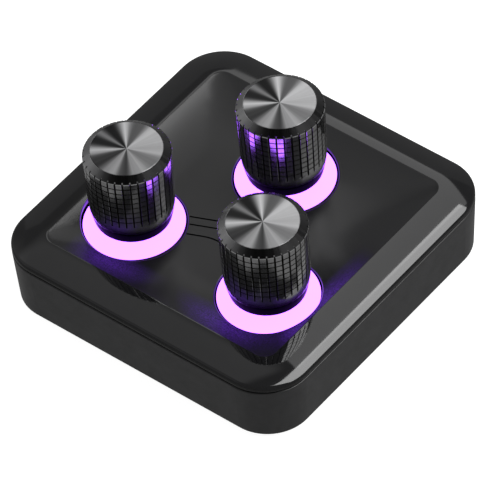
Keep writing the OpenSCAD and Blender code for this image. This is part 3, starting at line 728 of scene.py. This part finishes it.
def rim_outline():
    """The rim in section, (half width, height): under the lip, out, up and over to just inside the crest."""
    lower_half = HALF_CASE - COVER_EDGE_R
    points = [(LIP_HALF - LIP_T, Z_PLATE), (LIP_HALF - LIP_T, Z_PLATE - LIP_H), (LIP_HALF, Z_PLATE - LIP_H),
              (LIP_HALF, Z_COVER)]
    points += [(lower_half + COVER_EDGE_R * math.sin(a), Z_COVER + COVER_EDGE_R * (1 - math.cos(a)))
               for a in np.linspace(0, math.pi / 2, COVER_EDGE_STEPS)]
    edge_z = Z_CREST - PILLOW_R + math.sqrt((PILLOW_R - RIM_EDGE_R) ** 2 - PILLOW_RUN ** 2)
    edge_a = math.atan2(edge_z - Z_CREST + PILLOW_R, PILLOW_RUN)
    points += [(HALF_CASE - RIM_EDGE_R + RIM_EDGE_R * math.cos(a), edge_z + RIM_EDGE_R * math.sin(a))
               for a in np.linspace(0, edge_a, RIM_EDGE_STEPS)]
    # wide steps over the pillow, and narrow ones over the crest
    inwards = np.concatenate([np.linspace(0.25, 5.5, 22), np.linspace(5.6, 6.55, 12)])
    halves = HALF_CREST + PILLOW_RUN - inwards
    points += [(half, float(cover_height(half, 0.0))) for half in halves]
    return points


def make_cover():
    """The glossy cover: rim and lip, dish with its holes and engraved lines, and the posts below."""
    shell = Shell()
    loops = [shell.add([(x, y, z) for x, y in square_loop(half)]) for half, z in rim_outline()]
    for first, second in zip(loops, loops[1:]):
        shell.band(first, second)

    # the knobs' holes: a rounded upper edge that follows the dish, and a wall down to the plate's underside
    tops, undersides = [], []
    hole_r = RING_R + RING_GAP
    for knob in KNOBS:
        middle = PLACE[knob]
        around = np.array(circle(1, 0))[:, :2]
        rim = middle + around * HOLE_OUTER_R
        rim_z = cover_height(rim[:, 0], rim[:, 1])
        steps = []
        for a in np.linspace(0, math.pi / 2, HOLE_EDGE_STEPS):
            radius = hole_r + HOLE_EDGE_R * (1 - math.sin(a))
            flat = middle + around * radius
            steps.append(shell.add(np.column_stack([flat, rim_z - HOLE_EDGE_R * (1 - math.cos(a))])))
        steps.append(shell.add(circle(hole_r, Z_PLATE, middle)))
        for first, second in zip(steps, steps[1:]):
            shell.band(first, second)
        tops.append((steps[0], middle, HOLE_OUTER_R))
        undersides.append((steps[-1], middle, hole_r))

    # the corner posts under the plate
    for sx, sy in ((-1, -1), (1, -1), (1, 1), (-1, 1)):
        middle = (sx * POST_XY, sy * POST_XY)
        upper = shell.add(circle(POST_R, Z_PLATE, middle, POST_COLUMNS))
        lower = shell.add(circle(POST_R, Z_POST, middle, POST_COLUMNS))
        shell.band(upper, lower)
        shell.cap(lower, (*middle, Z_POST))
        undersides.append((upper, np.array(middle), POST_R))
    under, _ = shell.patch(loops[0], undersides, [], lambda x, y: Z_PLATE)
    shell.faces += under

    # the dish, with the engraved lines sunk into it
    outlines = engraved_outlines()
    dish, sunk = shell.patch(loops[-1], tops, dish_points(tops, outlines), cover_height, outlines)
    lower = {}
    sides = {}
    for triangle, deep in zip(dish, sunk):
        for i in range(3):
            edge = (triangle[i], triangle[(i + 1) % 3])
            sides.setdefault(tuple(sorted(edge)), []).append((edge, deep))
        if deep:
            for v in triangle:
                if v not in lower:
                    x, y, z = shell.verts[v]
                    lower[v] = shell.add([(x, y, z - LINE_DEPTH)])[0]
    shell.faces += [tuple(lower[v] for v in t) if deep else t for t, deep in zip(dish, sunk)]
    for owners in sides.values():
        if {deep for _, deep in owners} == {True, False}:
            (a, b), _ = next(owner for owner in owners if owner[1])
            shell.faces.append((b, a, lower[a], lower[b]))

    cover = shell.piece("glossy_cover", sharp=40)
    exact_normals(cover.data, set(lower.values()))
    return cover


def exact_normals(mesh, sunk):
    """Gives the upper surface the normals of the shape that it follows, and leaves other faces as they are."""
    count = len(mesh.vertices)
    places = np.zeros(count * 3, np.float64)
    mesh.vertices.foreach_get("co", places)
    places = places.reshape(-1, 3) / MM
    heights = cover_height(places[:, 0], places[:, 1])
    upper = (np.abs(places[:, 2] - heights) < 1e-3) & (depth_in(places[:, 0], places[:, 1]) > -PILLOW_RUN)
    upper[list(sunk)] = False
    exact = cover_normal(places[:, 0], places[:, 1])
    wanted = np.zeros((len(mesh.loops), 3))
    for polygon in mesh.polygons:
        if all(upper[v] for v in polygon.vertices) and polygon.normal.z > 0.5:
            for loop in polygon.loop_indices:
                wanted[loop] = exact[mesh.loops[loop].vertex_index]
    mesh.normals_split_custom_set([tuple(n) for n in wanted])


def second_material(piece, material, chosen):
    """Gives some faces of a finished piece another material: chosen(middle in millimetres, normal)."""
    piece.data.materials.append(material)
    for polygon in piece.data.polygons:
        if chosen(polygon.center / MM, polygon.normal):
            polygon.material_index = len(piece.data.materials) - 1


def in_dish(middle):
    return depth_in(middle.x, middle.y) > 0 and middle.z > Z_DISH - LINE_DEPTH - 0.1


def in_groove(middle):
    clear = all(from_axis(middle, knob) > HOLE_OUTER_R for knob in KNOBS)
    return clear and depth_in(middle.x, middle.y) > 3.5 and middle.z < cover_height(middle.x, middle.y) - 0.02


def on_hole_edge(middle):
    return any(from_axis(middle, knob) < HOLE_OUTER_R + 0.01 for knob in KNOBS)


cover = dress(make_cover(), "case", "cover_plastic", COVER, "top_cover")
# the dish, with the rings' painted glow
second_material(cover, DISH, lambda middle, normal: normal.z > 0.5 and in_dish(middle))
second_material(cover, GROOVE, lambda middle, normal: in_dish(middle) and in_groove(middle))
# the holes' rounded edges, with the rings' painted glow
second_material(cover, HOLE_EDGE, lambda middle, normal: 0.15 < normal.z < 0.97 and in_dish(middle)
                and on_hole_edge(middle))
second_material(cover, COVER_SIDE, lambda middle, normal: middle.z > Z_COVER - 0.01 and normal.z < 0.3
                and max(abs(middle.x), abs(middle.y)) > CORNER_AXIS
                and depth_in(middle.x, middle.y) < -PILLOW_RUN)


# ---- Light rings ----

for knob in KNOBS:
    ring = lathe("lit_ring_" + knob, [
        (RING_HOLE_R, Z_RING_UNDER), (LED_R, Z_RING_UNDER), (LED_R, Z_PLATE - RING_FLANGE_T),
        (FLANGE_R, Z_PLATE - RING_FLANGE_T), (FLANGE_R, Z_PLATE), (RING_R, Z_PLATE),
        (RING_R, Z_RING - RING_LIT_H), (RING_R, Z_RING - RING_EDGE),
        (RING_R - RING_EDGE_MIDDLE, Z_RING - RING_EDGE_MIDDLE), (RING_R - RING_EDGE, Z_RING),
        (RING_HOLE_R, Z_RING)], PLACE[knob])
    dress(ring, "case", "ring_diffuser", GLOW, "light_ring_" + knob)
    second_material(ring, UNLIT, lambda middle, normal: middle.z < Z_RING - RING_DARK_EDGE)


# ---- Knobs ----

def side_radius(z):
    """Radius of the knob's side: a slight taper, and a skirt that curves in to the foot."""
    if z >= Z_WAIST:
        return WAIST_R + (KNOB_R - WAIST_R) * (z - Z_WAIST) / GRID_H
    t = (z - Z_KNOB) / (Z_WAIST - Z_KNOB)
    return FOOT_R + (WAIST_R - FOOT_R) * (1 - (1 - t) ** SKIRT_CURVE)


def bevel_height(r):
    """Height of the bevel between the side and the land round the face."""
    return Z_CROWN + (KNOB_R - r) / (KNOB_R - LAND_R) * (Z_LAND - Z_CROWN)


def make_knob(knob):
    """The turned shell: skirt, a side cut into pads by flutes and rows, crown, bevel and recess."""
    shell = Shell()
    middle = PLACE[knob]
    period = math.tau / COLUMN_COUNT
    # one column, as offsets from the middle of its flute, with how deep the flute is there
    wall, edge = FLUTE_HALF_W, FLUTE_HALF_W + PAD_EDGE
    width = period * KNOB_R
    column = [(wall * 0.9, 1.0), (wall, 0.15), (edge, 0.0)]
    column += [(width - u, deep) for u, deep in column[::-1]]
    theta = np.array([period * i + u / KNOB_R for i in range(COLUMN_COUNT) for u, _ in column])
    flute = np.array([deep for _ in range(COLUMN_COUNT) for _, deep in column])
    # a flat pad is a chord of the knob's circle
    off_middle = (theta % period) - period / 2
    pad_half = (width / 2 - edge) / KNOB_R
    chord = math.cos(pad_half) / np.cos(np.minimum(np.abs(off_middle), pad_half))
    chord = 1 - PAD_FLATNESS * (1 - chord)
    around = np.stack([np.cos(theta + FLUTE_TURN), np.sin(theta + FLUTE_TURN)], axis=1)

    def row(radius, z, fluted=0.0, cut=0.0):
        """One loop: fluted is how much of the flutes it has, cut how deep it lies in a row's groove."""
        shape = radius * (1 - (1 - chord) * fluted)
        r = shape - np.maximum(FLUTE_DEPTH * flute * fluted, cut)
        heights = np.full(len(r), z) if z is not None else np.array([bevel_height(v) for v in r])
        return shell.add(np.column_stack([middle + around * r[:, None], heights]))

    rows = [row(AXIS_R, Z_CORE_TOP), row(CORE_R, Z_CORE_TOP), row(CORE_R, Z_KNOB + CORE_CHAMFER),
            row(CORE_R + CORE_CHAMFER, Z_KNOB), row(FOOT_R - FOOT_EDGE, Z_KNOB),
            row(FOOT_R - FOOT_BEND, Z_KNOB + FOOT_BEND)]
    for z in np.linspace(Z_KNOB + FOOT_EDGE, Z_WAIST - 0.04, SKIRT_STEPS):
        rows.append(row(side_radius(z), z, max(0.0, 1 - (Z_WAIST - z) / FLUTE_RUNOUT)))
    rows.append(row(side_radius(Z_WAIST), Z_WAIST, 1.0))
    levels = []
    for i in range(ROW_COUNT, 0, -1):
        z = Z_CROWN - i * ROW_PITCH
        levels += [(z - ROW_HALF_W - ROW_EDGE, 0), (z - ROW_HALF_W, ROW_DEPTH), (z + ROW_HALF_W, ROW_DEPTH),
                   (z + ROW_HALF_W + ROW_EDGE, 0)]
    rows += [row(side_radius(z), z, 1.0, cut) for z, cut in levels]
    rows.append(row(side_radius(Z_CROWN - CROWN_BREAK), Z_CROWN - CROWN_BREAK, 1.0))
    rows.append(row(KNOB_R - CROWN_BREAK / 2, None, 1.0))
    inner_edge = KNOB_R - FLUTE_DEPTH - 0.06
    for r in np.linspace(inner_edge, LAND_R + 0.05, BEVEL_STEPS):
        rows.append(row(r, None))
    rows += [row(LAND_R, Z_LAND), row(RECESS_R + 0.02, Z_LAND), row(RECESS_R, Z_LAND - RECESS_EDGE),
             row(RECESS_R, Z_FACE_UNDER), row(AXIS_R, Z_FACE_UNDER)]
    for first, second in zip(rows, rows[1:]):
        shell.band(first, second)
    shell.cap(rows[0], (*middle, Z_CORE_TOP))
    shell.cap(rows[-1], (*middle, Z_FACE_UNDER))
    piece = shell.piece("knurled_knob_" + knob, sharp=28)
    for polygon in piece.data.polygons:
        if Z_WAIST < polygon.center.z / MM < Z_CROWN:
            polygon.use_smooth = False      # the pads are flat
    return even_shading(piece)


for knob in KNOBS:
    shell = dress(make_knob(knob), "knob_" + knob, "shell_metal", PADS, "knob_shell_" + knob)
    # painted shade: the knob's colour darkens towards the foot
    second_material(shell, FOOT, lambda middle, normal: middle.z < FOOT_HIGH)
    # painted shade in the flutes and the rows' grooves
    second_material(shell, GROOVE_SHADE, lambda middle, normal: Z_KNOB + 0.5 < middle.z < Z_CROWN - 0.05
                    and side_radius(middle.z) - from_axis(middle, knob) > GROOVE_TELL)
    # the bevel, with its painted reflection rays
    second_material(shell, BEVEL, lambda middle, normal: normal.z > 0.5 and middle.z > Z_CROWN - 0.2)
    second_material(shell, CROWN_EDGE, lambda middle, normal: Z_CROWN - CROWN_BREAK < middle.z < Z_CROWN + 0.05
                    and from_axis(middle, knob) > KNOB_R - 0.12)
    cap = lathe("spun_cap_" + knob, [
        (0, Z_FACE_UNDER), (FACE_R, Z_FACE_UNDER), (FACE_R, Z_KNOB_TOP - FACE_CHAMFER),
        (FACE_R - FACE_CHAMFER, Z_KNOB_TOP), (FACE_R * 0.6, Z_KNOB_TOP), (FACE_R * 0.2, Z_KNOB_TOP),
        (0, Z_KNOB_TOP)], PLACE[knob])
    # the spun face, with its painted reflection rays
    dress(cap, "knob_" + knob, "face_metal", FACE, "knob_face_" + knob)


# ---- Snap domes, built in their rest shape; the real ones flatten as the knobs go down ----

def make_dome(knob):
    """A thin sprung dome on a short rim."""
    low, high = box_mm("snap_dome_" + knob)
    radius, rise = (high[0] - low[0]) / 2, high[2] - low[2] - DOME_T
    bend_r = (radius ** 2 + rise ** 2) / (2 * rise)
    bend_z = high[2] - bend_r
    under_r = bend_r - DOME_T
    mouth = math.sqrt(under_r ** 2 - (low[2] - bend_z) ** 2)
    outline = [(r, bend_z + math.sqrt(under_r ** 2 - r ** 2))
               for r in np.linspace(0, mouth, DOME_UNDER_STEPS)]
    outline.append((radius, low[2]))
    outline += [(r, bend_z + math.sqrt(bend_r ** 2 - r ** 2))
                for r in np.linspace(radius, 0, DOME_TOP_STEPS)]
    return lathe("sprung_dome_" + knob, outline, PLACE[knob], DOME_COLUMNS)


for knob in KNOBS:
    dome = dress(make_dome(knob), "case", "spring_metal", SPRING, "snap_dome_" + knob)
    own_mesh(dome)


# ---- CAD nodes that keep their shape ----

NODE_MATERIALS = {
    "base_tray": TRAY, "main_board": BOARD, "controller_chip": CHIP, "crystal": CAN, "regulator": CHIP,
    "socket_shell": CAN, "socket_tongue": TONGUE, "board_screws": SCREW, "case_screws": SCREW, "foot": RUBBER,
    "ring_leds": LED, "encoder_housing": HOUSING, "encoder_frame": ZINC, "encoder_pins": PIN,
    "encoder_rotor": ROTOR, "encoder_shaft": SHAFT, "knob_core": CORE,
}
for name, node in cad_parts.items():
    for stem, material in NODE_MATERIALS.items():
        if name.startswith(stem):
            node.data.materials.clear()
            node.data.materials.append(material)


# ---- Floor, light and camera ----

FLOOR_R = 4              # metres
LAMP_DISTANCE = 1.2      # metres


def make_floor():
    """A plain round white floor."""
    shape = bmesh.new()
    bmesh.ops.create_circle(shape, cap_ends=True, segments=96, radius=FLOOR_R)
    mesh = bpy.data.meshes.new("floor")
    shape.to_mesh(mesh)
    shape.free()
    floor = bpy.data.objects.new("floor", mesh)
    bpy.context.scene.collection.objects.link(floor)
    paint, _, _ = principled("floor_paint", (0.3, 0.3, 0.3), 0.9, Specular_IOR_Level=0.0,
                             Emission_Color=(1, 1, 1, 1), Emission_Strength=0.95)
    mesh.materials.append(paint)
    floor.visible_glossy = False    # the object mirrors the dim studio, not the white floor


def softbox(name, towards, half_width, half_height, radiance, soft=0.0, roll=0.0):
    """A panel of light that faces the object, square on. Its half sizes are shares of its distance.
    The direction points from the object to it; soft is how much of its half sizes its light fades over."""
    light = bpy.data.lights.new(name, "AREA")
    light.shape = "RECTANGLE"
    light.size, light.size_y = 2 * half_width * LAMP_DISTANCE, 2 * half_height * LAMP_DISTANCE
    light.energy = radiance * math.pi * light.size * light.size_y
    if soft:
        light.use_nodes = True
        tree = light.node_tree
        panel = tree.nodes.new("ShaderNodeNewGeometry")
        split = tree.nodes.new("ShaderNodeSeparateXYZ")
        tree.links.new(panel.outputs["Parametric"], split.inputs["Vector"])
        product = tree.nodes.new("ShaderNodeMath")
        product.operation = "MULTIPLY"
        for i, axis in enumerate("XY"):
            from_edge = calculate(tree, "Math", "PINGPONG", split.outputs[axis], 0.5)["Value"]
            fade = spread(tree, from_edge, 0, 1, 0, soft / 2)
            fade.node.interpolation_type = "SMOOTHSTEP"
            tree.links.new(fade, product.inputs[i])
        tree.links.new(product.outputs["Value"], tree.nodes["Emission"].inputs["Strength"])
    lamp = bpy.data.objects.new(name, light)
    bpy.context.scene.collection.objects.link(lamp)
    way = Vector(towards).normalized()
    lamp.location = way * LAMP_DISTANCE
    lamp.rotation_mode = "QUATERNION"
    turned = Quaternion((0, 0, 1), math.radians(roll))
    lamp.rotation_quaternion = way.to_track_quat("Z", "Y") @ turned


make_floor()
softbox("key", (0.413, 0.331, 0.849), 0.488, 0.339, 6.8, roll=53.4)
softbox("overhead", (-0.25, 0.582, 0.774), 0.275, 0.126, 1.45, soft=0.05, roll=-34)
softbox("back_low", (-0.5155, 0.736, 0.438), 0.466, 0.25, 0.12, soft=0.1)
softbox("above_left", (-0.45, 0.15, 0.88), 0.4, 0.3, 0.4, soft=0.5)
softbox("front_left", (-0.75, -0.35, 0.55), 0.8, 0.55, 0.25, soft=0.6)

world = bpy.data.worlds.new("studio")
bpy.context.scene.world = world
world.use_nodes = True
world.node_tree.nodes["Background"].inputs["Color"].default_value = (0.25, 0.25, 0.25, 1)
world.node_tree.nodes["Background"].inputs["Strength"].default_value = 1.0

# The camera's right, up and backward directions and its place, as found from the case's edges
CAMERA_RIGHT = (0.78469, 0.61711, -0.05866)
CAMERA_UP = (-0.42291, 0.60212, 0.67722)
CAMERA_BACK = (0.45324, -0.50660, 0.73345)
CAMERA_PLACE_MM = (496.88, -556.11, 811.83)
SENSOR_MM = 36
LENS_MM = 429.2
camera_data = bpy.data.cameras.new("camera")
camera_data.sensor_width = SENSOR_MM
camera_data.lens = LENS_MM
camera = bpy.data.objects.new("camera", camera_data)
bpy.context.scene.collection.objects.link(camera)
turn = Matrix((CAMERA_RIGHT, CAMERA_UP, CAMERA_BACK)).transposed()
camera.matrix_world = Matrix.Translation(Vector(CAMERA_PLACE_MM) * MM) @ turn.to_4x4()
bpy.context.scene.camera = camera
bpy.context.scene.view_settings.view_transform = "Standard"
